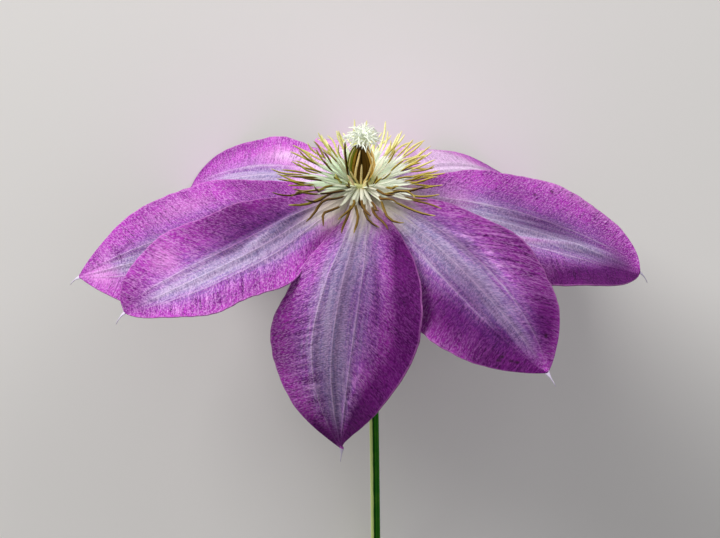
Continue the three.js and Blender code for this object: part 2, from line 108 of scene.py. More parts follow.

# What sets one petal apart, at (x, t): x runs from foot to tip and t from one edge, -1, to the other, 1.
# shades: x, t, reach in x and in t, and painted shade (painted light below 0). rough: the same, how wrinkled.
# creases: x, t to x, t, width and height in mm, and painted shade. specks: x, t. rib_shift moves the midrib
# sideways.
# leans: how far side veins run towards the tip for each step sideways, either side. waves: of the edge.
# swells: x, side, reach in x and mm by which the edge stands further out. sags: like shades, mm up.
PLAIN = dict(
    rib_shift=0, leans=(0.6, 0.6), waves=1, painted_shading=[], rough=[], creases=[], specks=[], swells=[], sags=[],
)
MARKINGS = {
    "front": dict(
        rib_shift=-0.13,
        painted_shading=[(0.38, 0, 0.2, 0.35, 0.62), (0.7, 0.98, 0.34, 0.42, 1.6), (0.95, 0, 0.08, 1.5, 0.7),
                (0.8, 0.62, 0.12, 0.25, 0.7), (0.33, 0.9, 0.12, 0.22, 0.8), (0.76, -0.1, 0.2, 0.34, 0.5),
                (0.38, 0.5, 0.1, 0.14, -0.2), (0.68, -0.8, 0.1, 0.3, -0.2), (0.94, -0.8, 0.07, 0.3, 0.7),
                (0.5, 0.4, 0.16, 0.2, 0.3), (0.18, -0.95, 0.06, 0.25, 0.5),
                (0.57, -0.8, 0.18, 0.3, 0.42), (0.3, 0.85, 0.14, 0.25, 0.75),
                (0.56, 0, 0.16, 0.3, 0.12), (0.4, 0.6, 0.12, 0.3, 0.2), (0.35, -0.6, 0.1, 0.25, -0.25)],
        rough=[(0.76, 0.33, 0.14, 0.16, 0.9), (0.75, -0.42, 0.16, 0.2, 0.9), (0.5, -0.5, 0.15, 0.15, 0.5)],
        creases=[(0.62, 0.36, 0.84, 0.3, 0.7, 0.25, -0.15), (0.6, -0.42, 0.84, -0.36, 0.8, 0.2, -0.1),
                 (0.22, 0.33, 0.5, 0.42, 0.9, -0.4, 0.35)],
        swells=[(0.345, -1, 0.06, 0.9)],
    ),
    "front_left": dict(
        rib_shift=0.06, leans=(0.7, 0.4),
        painted_shading=[(0.38, -0.75, 0.28, 0.5, 0.8), (0.2, 0.9, 0.1, 0.3, 0.8), (0.22, -0.3, 0.14, 0.25, 0.6),
                (0.46, -0.34, 0.14, 0.2, 0.5), (0.97, -0.3, 0.07, 1.0, 0.5), (0.78, -0.65, 0.08, 0.3, -0.25),
                (0.3, 0.2, 0.16, 0.3, 0.35), (0.55, 0.75, 0.2, 0.2, 0.3), (0.74, -0.6, 0.07, 0.5, -0.42)],
        rough=[(0.8, 0.65, 0.16, 0.3, 1.1), (0.5, 0.5, 0.2, 0.3, 0.4), (0.9, -0.3, 0.1, 0.4, 0.5)],
        creases=[(0.12, -0.34, 0.45, -0.06, 1.1, 0.75, -0.35), (0.45, -0.06, 0.6, -0.22, 0.8, -0.4, 0.15),
                 (0.16, -0.12, 0.5, 0.14, 1.0, -0.35, 0.2)],
        swells=[(0.34, 1, 0.11, 1.9)],
    ),
    "left": dict(
        leans=(0.7, 0.6),
        painted_shading=[(0.3, -0.76, 0.16, 0.4, 0.6), (0.6, -0.3, 0.25, 0.2, 0.35), (0.92, 0.15, 0.09, 0.6, -0.6),
                (0.56, -0.66, 0.22, 0.24, -0.4), (0.42, -0.35, 0.1, 0.18, 0.7), (0.8, 0, 0.08, 0.3, 0.25)],
        rough=[(0.85, -0.25, 0.09, 0.35, 0.8), (0.6, -0.6, 0.3, 0.3, 0.4)],
        creases=[(0.78, -0.5, 0.86, -0.32, 0.7, -0.5, 0.35), (0.82, -0.3, 0.88, -0.12, 0.7, -0.45, 0.25)],
    ),
    "back_left": dict(
        painted_shading=[(0.5, 0.15, 0.12, 0.2, 0.3), (0.56, -0.6, 0.1, 0.2, -0.5), (0.8, -0.9, 0.1, 0.2, 0.4),
                (0.52, -0.9, 0.06, 0.14, 0.3), (0.65, -0.3, 0.4, 0.5, -0.2),
                (0.26, 0.1, 0.14, 0.9, -0.9), (0.36, -0.75, 0.16, 0.4, -0.9)],
        rough=[(0.6, -0.5, 0.3, 0.4, 0.4)],
        creases=[(0.3, -0.12, 0.8, -0.2, 1.0, -0.4, 0.2)],
    ),
    "back": dict(
        waves=0.2, painted_shading=[(0.5, 0, 0.3, 1.5, -1), (0.22, 0, 0.14, 1.5, -0.8)],
        sags=[(0.53, -1.1, 0.16, 0.5, -3.7), (0.33, -1.1, 0.13, 0.45, -2.2)],
    ),
    "back_right": dict(
        waves=0.6, painted_shading=[(0.55, 0.4, 0.26, 0.8, -1.5), (0.88, 0.6, 0.12, 0.9, 0.4)],
        rough=[(0.6, 0.6, 0.3, 0.4, 0.3)],
    ),
    "right": dict(
        leans=(0.3, 0.6),
        painted_shading=[(0.72, 0.97, 0.2, 0.16, -0.5), (0.3, 0.3, 0.12, 0.5, -0.5), (0.82, -0.85, 0.24, 0.5, 1.3),
                (0.6, 0.1, 0.16, 0.2, 0.36), (0.92, -0.2, 0.1, 0.7, 0.7), (0.6, -0.28, 0.16, 0.14, -0.5),
                (0.45, 0.5, 0.12, 0.3, 0.3), (0.67, 0.3, 0.14, 0.2, 0.4),
                (0.58, 0.4, 0.24, 0.7, 0.16)],
        rough=[(0.8, 0.85, 0.18, 0.15, 0.6), (0.6, -0.6, 0.3, 0.3, 0.5)],
        creases=[(0.5, -0.24, 0.88, 0.12, 0.9, 0.7, -0.5), (0.5, -0.36, 0.86, -0.02, 0.9, -0.3, 0.3),
                 (0.25, 0.02, 0.8, 0.2, 0.5, -0.2, 0.25), (0.3, 0.12, 0.7, 0.28, 0.4, -0.15, 0.2)],
        specks=[(0.571, 0.71), (0.629, 0.85)],
    ),
    "front_right": dict(
        leans=(0.4, 1.05),
        painted_shading=[(0.62, -0.55, 0.2, 0.5, 1.0), (0.96, -0.8, 0.16, 0.5, 1.3), (0.93, 0, 0.12, 1.2, 0.4),
                (0.55, -0.02, 0.24, 0.26, 0.32), (0.82, 0.6, 0.14, 0.5, 0.8), (0.36, 0.38, 0.14, 0.12, 0.5),
                (0.16, -0.4, 0.06, 0.3, -0.5), (0.5, 0.7, 0.2, 0.25, 0.55), (0.28, -0.1, 0.1, 0.2, 0.15),
                (0.18, 0.85, 0.05, 0.2, -0.5), (0.79, -0.3, 0.07, 0.2, 0.5),
                (0.5, 0.97, 0.26, 0.12, 0.5), (0.78, 0.8, 0.1, 0.25, 0.12)],
        rough=[(0.46, 0.7, 0.2, 0.36, 1.1), (0.68, 0.75, 0.16, 0.3, 0.7), (0.82, 0, 0.12, 0.3, 0.4)],
        creases=[(0.3, 0.34, 0.44, 0.44, 0.6, 0.5, -0.5), (0.36, 0.42, 0.56, 0.5, 0.6, 0.5, -0.5),
                 (0.5, 0.4, 0.66, 0.46, 0.6, 0.45, -0.35), (0.28, 0.24, 0.62, 0.3, 0.8, -0.4, 0.35),
                 (0.26, -0.36, 0.8, -0.26, 0.7, 0.4, -0.3)],
        specks=[(0.86, -0.61), (0.864, -0.74), (0.893, -0.61), (0.909, -0.57), (0.88, 0.56)],
    ),
}
PETALS = [{**PLAIN, **petal, **MARKINGS[petal["name"]]} for petal in PETALS]
SPECK_RADIUS = 0.42  # mm

# Stem: the points that its centre runs through, and the heights and radii of its swollen top
STEM_RADIUS = 1.4
STEM_GROOVE = 0.2 * MM
STEM_GROOVES = 6
GROOVE_TOP = 5 * MM  # how far down the grooves begin, and over how much they deepen
GROOVE_FADE = 6 * MM
STEM_POINTS = [
    (0.2, 0, -4.4), (1.4, 0.2, -18), (2.9, 0.4, -40), (3.6, 0, -72), (4.1, -1.6, -104), (4.4, -4, -132),
]
STEM_START = 4 / 47  # share of the course at which the top ends
STEM_STATIONS = 44
STEM_SAMPLES = 200
GROOVE_CORNERS = 6
STEM_TOP = [(0.4, 2.2), (0.1, 2.55), (-0.6, 2.6), (-4.4, 2.6), (-5.4, 2.4), (-6.6, 2.05), (-8, 1.62)]
STEM_EDGE = radians(50)  # edges sharper than this stay sharp
STEM_CUT = (0.25, 0.06)  # rim of the cut end, and how far the cut lies inside it

# Rings of stamens: their number, root (radius, height) and length in mm, rise in front and behind and curl in
# degrees, half of the bare stretch in front, and where others stand between, from 0, in front, to 1, behind
RINGS = [
    dict(count=28, root=(3.1, 1.6), length=20, rise=(-3, 12), curl=5, bare=0, seed=11, filled=(0, 1)),
    dict(count=25, root=(3.1, 1.9), length=18.2, rise=(7, 21), curl=8, bare=0, seed=23, filled=(0, 0.8)),
    dict(count=20, root=(3.05, 2.2), length=15, rise=(20, 36), curl=12, bare=20, seed=37, filled=(0.7, 1)),
    dict(count=15, root=(3.05, 2.3), length=12, rise=(40, 57), curl=10, bare=58, seed=41, filled=(0.6, 1)),
]
# What draws give each one, as middle and spread: rise, shares of length and curl, and sway; then share of the
# bends, tone and phase. For one in between: azimuth, shares of bends and length, rise, sway and phase.
SPREAD = [(0, 4), (1, 0.1), (1, 0.8), (0, 0.22)]
SPREAD_MORE = [(1, 0.6), (0, 0.14), (0, 0.5)]
SPREAD_BETWEEN = [(0, 2), (1.2, 0.6), (0.9, 0.1), (2, 4), (0, 0.24), (0, 0.5)]
AZIMUTH_SPREAD = 4
FRONT_END = 0.22  # share of the way to the back up to which stamens look as they do in front
FRONT_BENDS = 1.8  # how much more these waver
# Small curled stamens close to the pistil: azimuth, root radius and height, rise, length, curl, sway and tone
HOOKS = [
    (-30, 3.6, 1.4, 72, 5.2, 4, -0.8, -0.5), (-66, 5.4, 2.7, 58, 3.9, 24, -0.2, 0.3),
    (58, 3.6, 1.9, 66, 3.8, 38, 0.1, 0.8), (76, 5.4, 3.2, 48, 4.4, 22, 0, 0.6),
    (38, 3.6, 1.5, 4, 3.8, 26, 0.5, 1), (-96, 3.2, 2.1, 84, 11.8, 12, -0.1, 0.85),
    (10, 3.0, 1.2, 62, 4.4, 10, 0.5, -0.3), (-40, 3.1, 1.6, 34, 4, 20, 0, 0.6),
    (-6, 3.2, 1.2, -14, 8, 6, 0.9, 1), (22, 3.2, 1.4, -6, 7, 16, -0.4, 1),
]
UPRIGHT = 45  # rise from which a curled stamen turns its face outwards
SHORT_STAMENS = dict(rise=38, root=(2.9, 2.3), length=7, curl=34, sway=0.1, waver=26)
SHORT_AZIMUTHS = (-62, -28, 14, 40, 71)
STAMEN_SINK = (0.3, 0.2)
STAMEN_ROWS = 16
STAMEN_BENDS = 13  # degrees by which a stamen wavers along its length
WAVER_TURNS = (1.1, 1.3)  # up and down, and sideways
WAVER_ASIDE = 0.022
# A stamen's stations: share of its length, half width and half thickness in mm
STAMEN_STATIONS = [
    (0, 0.36, 0.16), (0.1, 0.5, 0.17), (0.3, 0.6, 0.15), (0.45, 0.55, 0.14), (0.54, 0.4, 0.13),
    (0.59, 0.24, 0.16), (0.63, 0.23, 0.22), (0.7, 0.26, 0.25), (0.8, 0.26, 0.25), (0.88, 0.24, 0.23),
    (0.95, 0.19, 0.18), (0.985, 0.12, 0.12), (1, 0.04, 0.05),
]
FACE_LEAN = 0.3  # how far a stamen's face leans to the pistil
LEFT_TONE = 0.3  # how much darker the anthers behind are at the left
NECK = 0.55  # share at which the filament's width ends, and then where the anther's colour begins
ANTHER_START = 0.6
# Kinds of stamen: share of the length at which the anther begins, and how broad filament, anther and all are
STAMEN_KINDS = {
    "usual": (ANTHER_START, 1, 1, 1), "between": (ANTHER_START, 1, 1, 0.94),
    "front": (0.4, 0.72, 1.14, 1.26), "hooked": (0.12, 1, 1, 1.35),
}
COLLAR = [(2.6, 0.8), (3.15, 0.8), (3.5, 1.6), (3.25, 2.5), (2.6, 2.75), (2.6, 0.8)]
COLLAR_MARKS = dict(along=0.04, around=0, tone=0.7, painted_light_share=0.4)

# Pistil: a dark core under upright inner organs, and the white styles on its top
BARREL = [
    (0, 0.8), (1.7, 0.8), (1.85, 3.4), (2.7, 4.7), (3.2, 7.2), (2.95, 9.3), (2.2, 11.3), (1.3, 12.7),
    (0, 13.1),
]
CORE_INSET = 0.3
POLE_RADIUS = 0.02
CORE_MARKS = dict(along=0.5, around=0, tone=1.2, painted_light_share=0)
STRAP_ROWS = 18
STRAP_STATIONS = [
    (0, 0.6, 0.16), (0.2, 0.66, 0.2), (0.45, 0.7, 0.26), (0.7, 0.64, 0.26), (0.88, 0.5, 0.22),
    (0.96, 0.34, 0.18), (1, 0.1, 0.08),
]
# Upright straps round the core: azimuth at foot and top, height of foot and top, how far off it stands, how
# broad it is, and its tone from cream, 0, to dark brown, 1, or green below 0
INNER_STRAPS = [
    (-92, -84, 2.6, 12.7, 0.2, 1.0, -0.6), (-76, -68, 2.8, 12.5, 0.1, 0.6, -0.3),
    (-60, -50, 2.8, 12.5, 0.05, 0.7, -0.5), (-46, -36, 3, 12.3, -0.1, 0.8, 0.75),
    (-34, -6, 3, 12.4, 0.45, 0.44, 0.16), (-16, -10, 2.6, 11.8, 0, 0.8, 0.95),
    (-2, 3, 1.7, 9.2, 0.75, 0.44, 0.12), (10, 48, 1.7, 8.8, 0.6, 0.46, 0.14),
    (22, 14, 3, 12.3, -0.1, 0.8, 1), (-12, -50, 1.6, 6.4, 0.55, 0.5, -0.25), (44, 30, 3, 12.5, 0, 0.7, 0.9),
    (60, 72, 1.8, 9.6, 0.45, 0.5, 0.4), (66, 40, 3, 12.6, 0.25, 0.5, 0.42),
    (80, 48, 2.6, 12.5, 0.4, 0.5, 0), (92, 62, 2.6, 12.7, 0.5, 0.55, 0.36),
    (104, 76, 2.4, 12.5, 0.5, 0.6, 0), (118, 94, 2.4, 12.5, 0.4, 0.7, 0.3),
    (136, 124, 3, 12.6, 0.1, 0.9, 0.4), (160, 160, 3, 12.4, 0.1, 0.9, 0.6),
    (-174, -170, 3, 12.6, 0.1, 0.9, 0.4), (-146, -148, 3, 12.4, 0.1, 0.9, 0.6),
    (-118, -116, 3, 12.6, 0.1, 0.9, 0.3), (-102, -98, 2.6, 12.4, 0.2, 0.7, -0.3),
]
TUFT_Z = 14.1
TUFT_SHIFT = 0.4
TUFT_RADIUS = (1.9, 1.15)
TUFT_NARROW = 0.85
TUFT_ROOT = (1.3, 0.8)  # radius and height of the dome on which the styles stand
STYLES = 120
STYLE_ROWS = 14
STYLE_BROAD = 1.3
STYLE_REACH = (3.7, 1.2, 0.9)  # mm for the middle one, how much more for the outer ones, and its spread
STYLE_CURL = (128, -30, 60)  # the same in degrees
STYLE_STATIONS = [
    (0, 0.17, 0.1), (0.12, 0.17, 0.09), (0.25, 0.17, 0.08), (0.4, 0.16, 0.08), (0.55, 0.15, 0.07),
    (0.7, 0.15, 0.07), (0.82, 0.14, 0.06), (0.93, 0.11, 0.05), (1, 0.04, 0.03),
]
STYLE_STEEP = (-4, 76)  # degrees by which the outer ones and the middle one lean up from level
STYLE_LIFT = 30  # and how much steeper they start
STYLE_SWAY = 1.1
STYLE_SWAY_TURN = 4.5
STYLE_TWIST = 3
STYLE_SEED = 19
GOLDEN_ANGLE = pi * (3 - 5 ** 0.5)
UP = np.array([0, 0, 1.0])

# Corners round each kind of body, draws, and painted glow
SIDES = dict(thread=8, stamen=10, collar=40, core=32, strap=10, style=6)
DRAW_FACTOR = 16807
DRAW_RANGE = 2 ** 31 - 1
BLACK = (0, 0, 0, 1)
PAINTED_GLOW = 0.12  # painted glow, standing in for light that comes through the filaments and straps


def select_only(*pieces):
    bpy.ops.object.select_all(action="DESELECT")
    for piece in pieces:
        piece.select_set(True)
    bpy.context.view_layer.objects.active = pieces[0]


def join(name, pieces):
    select_only(*pieces)
    bpy.ops.object.join()
    joined = bpy.context.object
    joined.name = name
    joined.data.name = name
    return joined


def smooth(piece):
    select_only(piece)
    bpy.ops.object.shade_smooth()


def place_piece(piece, node):
    """Turns a piece from flower space to its place on the surface, in its mesh, and hides the part it
    replaces.
    """
    piece.data.transform(LIE)
    piece.data.update()
    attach(piece, "root")
    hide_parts(node)


def finish_piece(piece, finish, node):
    piece.data.materials.clear()
    piece.data.materials.append(finish)
    place_piece(piece, node)


def points_of(piece):
    places = np.empty(len(piece.data.vertices) * 3)
    piece.data.vertices.foreach_get("co", places)
    return places.reshape(-1, 3)


def move_points(piece, places):
    piece.data.vertices.foreach_set("co", np.ascontiguousarray(places).ravel())
    piece.data.update()


def mark(piece, name, values):
    """Stores a number or a vector at each vertex, for the materials. One number alone holds for them all."""
    values = np.asarray(values, float)
    if values.ndim == 0:
        values = np.full(len(piece.data.vertices), values)
    kind, key = ("FLOAT", "value") if values.ndim == 1 else ("FLOAT_VECTOR", "vector")
    layer = piece.data.attributes.get(name) or piece.data.attributes.new(name, kind, "POINT")
    layer.data.foreach_set(key, values.ravel())


def mix(a, b, share):
    return a + (b - a) * share


def read_off(at, stations, values):
    """Rows of values, read off at places between their stations."""
    return np.stack([np.interp(at, stations, column) for column in values.T], -1)


def walk(start, steps, length):
    """A line from a place, in steps of equal length."""
    steps = steps * (length / len(steps) / np.linalg.norm(steps, axis=1))[:, None]
    return np.vstack([start, start + np.cumsum(steps, 0)])


def scatter(seed):
    """Repeatable draws in -1..1."""
    state = seed

    def draw():
        nonlocal state
        state = state * DRAW_FACTOR % DRAW_RANGE
        return 2 * state / DRAW_RANGE - 1

    return draw


def several(draw, spreads):
    return [middle + spread * draw() for middle, spread in spreads]


def ripple(first, second, grain, seed):
    """Soft noise over two distances, with so many turns along each."""
    places = zip((first * grain[0]).ravel(), (second * grain[1]).ravel())
    return np.array([noise.noise(Vector((a, b, seed))) for a, b in places]).reshape(first.shape)


# Shader maths


def paint(red, green, blue):
    """A colour given in 0..255 as seen on a screen, in linear light."""
    shares = [value / 255 for value in (red, green, blue)]
    linear = [s / 12.92 if s <= 0.04045 else ((s + 0.055) / 1.055) ** 2.4 for s in shares]
    return (*linear, 1)


class Shade:
    """A node socket that takes part in arithmetic: each operation adds its Math node."""

    def __init__(self, tree, socket=None):
        self.tree = tree
        self.socket = socket

    def node(self, kind, settings=None, inputs=None, output=0):
        made = self.tree.nodes.new(kind)
        for name, value in (settings or {}).items():
            setattr(made, name, value)
        for name, value in (inputs or {}).items():
            if isinstance(value, Shade):
                self.tree.links.new(value.socket, made.inputs[name])
            else:
                made.inputs[name].default_value = value
        return Shade(self.tree, made.outputs[output])

    def math(self, operation, *values):
        return self.node("ShaderNodeMath", {"operation": operation}, dict(enumerate(values)))

    def __add__(self, other):
        return self.math("ADD", self, other)

    def __sub__(self, other):
        return self.math("SUBTRACT", self, other)

    def __rsub__(self, other):
        return self.math("SUBTRACT", other, self)

    def __mul__(self, other):
        return self.math("MULTIPLY", self, other)

    __radd__ = __add__
    __rmul__ = __mul__

    def __abs__(self):
        return self.math("ABSOLUTE", self)

    def step(self, start, end):
        """0 at start and 1 at end, with a soft course between them."""
        inputs = {"Value": self, "From Min": start, "From Max": end}
        return self.node("ShaderNodeMapRange", {"interpolation_type": "SMOOTHSTEP"}, inputs)

    def plain(self, colour):
        made = self.node("ShaderNodeRGB")
        made.socket.default_value = colour
        return made

    def coat(self, colour, share, blend="MIX"):
        """This colour with another one laid over it by a share."""
        settings = {"data_type": "RGBA", "blend_type": blend}
        return self.node("ShaderNodeMix", settings, {0: share, 6: self, 7: colour}, 2)

    def place(self):
        """Object coordinates in metres."""
        return self.node("ShaderNodeTexCoord", output=3)

    def mark(self, name):
        return self.node("ShaderNodeAttribute", {"attribute_name": name}, output=1)

    def number(self, name):
        return self.node("ShaderNodeAttribute", {"attribute_name": name}, output=2)

    def parts(self):
        split = self.node("ShaderNodeSeparateXYZ", inputs={0: self})
        outputs = split.socket.node.outputs
        return [Shade(self.tree, outputs[k]) for k in range(3)]

    def vector(self, x, y, z):
        return self.node("ShaderNodeCombineXYZ", inputs={0: x, 1: y, 2: z})

    def noise(self, scale, detail, roughness):
        inputs = {"Vector": self, "Scale": scale, "Detail": detail, "Roughness": roughness}
        return self.node("ShaderNodeTexNoise", inputs=inputs)

    def bump(self, strength, distance):
        inputs = {"Strength": strength, "Distance": distance, "Height": self}
        return self.node("ShaderNodeBump", inputs=inputs)


def material(name, constants):
    """A new material with its surface shader's constants set, and a Shade to build its nodes from."""
    made = bpy.data.materials.new(name)
    made.use_nodes = True
    shader = made.node_tree.nodes["Principled BSDF"]
    for socket, value in constants.items():
        shader.inputs[socket].default_value = value
    return made, shader, Shade(made.node_tree)


def connect(shader, links):
    for socket, value in links.items():
        shader.id_data.links.new(value.socket, shader.inputs[socket])


# Petals: x runs from foot to tip, 0 to 1, and t from edge to edge, -1 to 1


def direction(azimuth, slope):
    flat = np.cos(slope)
    return np.stack([np.sin(azimuth) * flat, -np.cos(azimuth) * flat, np.sin(slope)], -1)


def course(petal, x):
    azimuth = np.radians(petal["azimuth"] + petal["sweep"] * (1 - x) ** 2)
    slope = np.radians(mix(*petal["slope"], x ** petal["bend"]))
    return azimuth, slope


def centre_line(petal):
    azimuth, slope = course(petal, np.linspace(0, 1, STEPS + 1))
    ahead = direction(azimuth, slope)
    steps = (ahead[1:] + ahead[:-1]) * petal["length"] * MM / STEPS / 2
    foot = direction(azimuth[0], 0) * CLAW_START + UP * petal["foot"] * MM
    return np.vstack([foot, foot + np.cumsum(steps, 0)])


def half_width(petal, x, side):
    widest = petal["widest"] + side * petal["skew"]
    fall = petal["taper"] * (1 - widest) / widest
    leaf = (x / widest) ** petal["taper"] * ((1 - x) / (1 - widest)) ** fall
    return np.maximum(CLAW_HALF * (1 - x) ** 4 + petal["half"] * MM * leaf, TIP_HALF)


def off_midrib(petal, x, t):
    return t - petal["rib_shift"] * np.sin(pi * x)


def settle(places):
    """Lifts what would sink into the surface that the flower lies on."""
    height = FLOWER_AT.z + places @ REST_NORMAL
    over = height - REST_GAP
    settled = REST_GAP + (over + np.hypot(over, 2 * REST_SOFTNESS)) / 2
    return places + (settled - height)[..., None] * REST_NORMAL


def patches(places, x, t):
    """The sum of soft patches at (x, t), each given by its place, its reach and its amount."""
    total = 0 * x
    for at, beside, reach, span, amount in places:
        total += amount * np.exp(-((x - at) / reach) ** 2 - ((t - beside) / span) ** 2)
    return total


def off_line(line, x, t, half, length):
    """Distance in mm of each place from a crease's line, and how far along the line it lies."""
    x0, t0, x1, t1 = line
    start = np.stack([(x - x0) * length, (t - t0) * half])
    run = np.stack([(x1 - x0) * length + 0 * x, (t1 - t0) * half])
    share = np.clip((start * run).sum(0) / (run ** 2).sum(0), 0, 1)
    return np.hypot(*(start - share * run)), share


def vein_course(petal, along, across):
    """Distance in mm along the petal at which the side vein through each place leaves the midrib."""
    lean = np.where(across < 0, *petal["leans"])
    return along - lean * across ** 2 / (np.abs(across) + VEIN_TURN)


def relief(petal, x, t, half, seed):
    """Waves, ribs, pleats, creases and crepe of a petal, as heights over its smooth form."""
    turn = WAVES * x + EDGE_PHASE * np.sign(t) + petal["azimuth"] / WAVE_TURN
    wave = petal["waves"] * WAVE_RISE * np.abs(t) ** 3 * np.sin(2 * pi * turn)
    beside = off_midrib(petal, x, t)
    crest = (0.5 + 0.5 * np.cos(2 * pi * beside / RIB_SPACING)) ** 3
    rib = RIB_RISE * (2 * crest - 1) * np.exp(-(beside / RIB_REACH) ** 4)
    along = x * petal["length"]
    across = t * half
    vein = vein_course(petal, along, across)
    margin = np.clip((np.abs(beside) - MARGIN_START) / MARGIN_FADE, 0, 1)
    rough = patches(petal["rough"], x, t)
    ridges = 0.5 - 2 * np.abs(ripple(vein, across, PLEAT_GRAIN, seed))
    pleats = PLEAT_RISE * ridges * (0.15 + margin) * (1 + rough)
    wrinkles = WRINKLE_RISE * (0.4 - 2 * np.abs(ripple(vein, across, WRINKLE_GRAIN, seed + 7))) * rough
    crepe = CREPE_RISE * ripple(across, along, CREPE_GRAIN, seed + 9) * (0.5 + 0.4 * margin)
    folds = FOLD_RISE * ripple(across, along, FOLD_GRAIN, seed + 5) * (1 - 0.5 * margin)
    height = wave + rib + pleats + wrinkles + crepe + folds + patches(petal["sags"], x, t) * MM
    for *line, width, rise, _ in petal["creases"]:
        off, share = off_line(line, x, t, half, petal["length"])
        height = height + rise * MM * np.exp(-(off / width) ** 2) * np.sin(pi * (0.15 + 0.7 * share))
    return height * np.sin(pi * x) ** RELIEF_FADE


def painted_light_and_specks(petal, x, t, half):
    """How much painted shade and painted light each place has, and where its dark specks lie."""
    shade = patches(petal["painted_shading"], x, t)
    # each crease adds painted shade along its fold
    for *line, width, _, depth in petal["creases"]:
        off, share = off_line(line, x, t, half, petal["length"])
        reach = CREASE_SHADE * width
        shade = shade + depth * np.exp(-(off / reach) ** 2) * np.sin(pi * (0.1 + 0.8 * share))
    specks = 0 * x
    for at, beside in petal["specks"]:
        off = np.hypot((x - at) * petal["length"], (t - beside) * half)
        specks = np.maximum(specks, np.clip(1.6 - off / SPECK_RADIUS, 0, 1))
    return np.stack([np.clip(shade, 0, 1), np.clip(-shade, 0, 1), specks], -1)


def surface(petal, x, t, seed):
    """Places on a petal's middle layer, the ways out of its face and along it, and its half width in mm."""
    line = centre_line(petal)
    azimuth, slope = course(petal, x)
    ahead = direction(azimuth, slope)
    across = np.stack([np.cos(azimuth), np.sin(azimuth), 0 * azimuth], -1)
    down = np.cross(across, ahead)
    roll = np.radians(mix(*petal["roll"], x))[..., None]
    u = across * np.cos(roll) + down * np.sin(roll)
    v = down * np.cos(roll) - across * np.sin(roll)
    camber = np.radians(mix(*petal["camber"], x) + 0.01)
    side = np.sign(t)
    nibble = ripple(x, side, EDGE_WAVER, seed + 3) + ripple(x, side, EDGE_NICKS, seed)
    half = half_width(petal, x, side) * (1 + EDGE_NIBBLE * nibble)
    for at, swollen, reach, more in petal["swells"]:
        half = half + more * MM * np.exp(-((x - at) / reach) ** 2) * (side == swollen)
    angle = (camber * t)[..., None]
    bow = (half / camber)[..., None]
    centre = read_off(x, np.linspace(0, 1, STEPS + 1), line)
    places = centre + u * bow * np.sin(angle) + v * bow * (np.cos(angle) - 1)
    up = -(u * np.sin(angle) + v * np.cos(angle))
    places = places + up * relief(petal, x, t, half / MM, seed)[..., None]
    return settle(places), up, ahead, half / MM


def petal_blade(petal, seed):
    """A flat grid, shaped by the petal's form and given its thickness."""
    bpy.ops.mesh.primitive_grid_add(x_subdivisions=BLADE_COLUMNS, y_subdivisions=BLADE_ROWS, size=2)
    blade = bpy.context.object
    flat = points_of(blade)
    t = -flat[:, 0]
    x = (flat[:, 1] + 1) / 2
    places, _, _, half = surface(petal, x, t, seed)
    move_points(blade, places)
    beside = off_midrib(petal, x, t)
    along = x * petal["length"]
    mark(blade, "grain", np.stack([beside * half, along, 0 * x + seed], -1))
    mark(blade, "vein", vein_course(petal, along, t * half))
    mark(blade, "rough", patches(petal["rough"], x, t))
    mark(blade, "share", np.stack([beside, x, np.abs(t)], -1))
    # tint holds the painted shade, the painted light and the dark specks
    mark(blade, "tint", painted_light_and_specks(petal, x, t, half))
    blade.data.materials.append(PETAL_FACE)
    blade.data.materials.append(PETAL_BACK)
    select_only(blade)
    wall = blade.modifiers.new("Wall", "SOLIDIFY")
    wall.thickness = BLADE
    wall.offset = 0
    wall.material_offset = 1
    bpy.ops.object.modifier_apply(modifier=wall.name)
    smooth(blade)
    return blade


def tip_thread(petal, seed):
    """The thin thread that the midrib ends in."""
    one = np.array([1.0])
    tip, up, ahead = [values[0] for values in surface(petal, one, 0 * one, seed)[:3]]
    past = (np.arange(THREAD_ROWS)[:, None] + 0.5) / THREAD_ROWS
    steps = ahead + up * sin(radians(petal["thread"])) * 2 * past
    line = walk(tip - ahead * THREAD_INSIDE, steps, THREAD_LENGTH + THREAD_INSIDE)
    thread = bent_copy(THREAD, settle(line), up)
    past = np.clip(points_of(THREAD)[:, 2] / THREAD_TURN, 0, 1)
    mark(thread, "share", np.stack([0 * past, 0.97 + 0.13 * past, 0 * past], -1))
    thread.data.materials.append(PETAL_FACE)
    return thread


def make_petal(petal, seed):
    piece = join("petal_" + petal["name"], [petal_blade(petal, seed), tip_thread(petal, seed)])
    place_piece(piece, "tepal_" + petal["name"])


# Bodies drawn out of a circle. Straps and threads are drawn straight along +Z with unit length, then copied
# and bent.


def enter_edit():
    bpy.ops.object.mode_set(mode="EDIT")
    bpy.ops.mesh.select_all(action="SELECT")


def leave_edit():
    bpy.ops.mesh.select_all(action="SELECT")
    bpy.ops.mesh.normals_make_consistent(inside=False)
    bpy.ops.object.mode_set(mode="OBJECT")


def draw_out(move, scale, centre):
    """Extrudes the selected end by a move and resizes it about a centre."""
    bpy.ops.mesh.extrude_region_move(TRANSFORM_OT_translate={"value": tuple(move)})
    bpy.ops.transform.resize(value=(*scale, 1), center_override=tuple(centre))


def drawn(name, corners, stations):
    """A closed body drawn through stations, each its centre and its radius in mm."""
    (last, width), *others = [(np.array(centre) * MM, radius * MM) for centre, radius in stations]
    bpy.ops.mesh.primitive_circle_add(vertices=corners, radius=width, fill_type="NGON", location=last)
    bpy.ops.object.transform_apply()
    body = bpy.context.object
    body.name = name
    enter_edit()
    for centre, radius in others:
        draw_out(centre - last, (radius / width, radius / width), centre)
        last, width = centre, radius
    leave_edit()
    return body


def spun(name, corners, profile):
    """A round body from a profile of (radius, height) in mm."""
    return drawn(name, corners, [((0, 0, height), radius) for radius, height in profile])


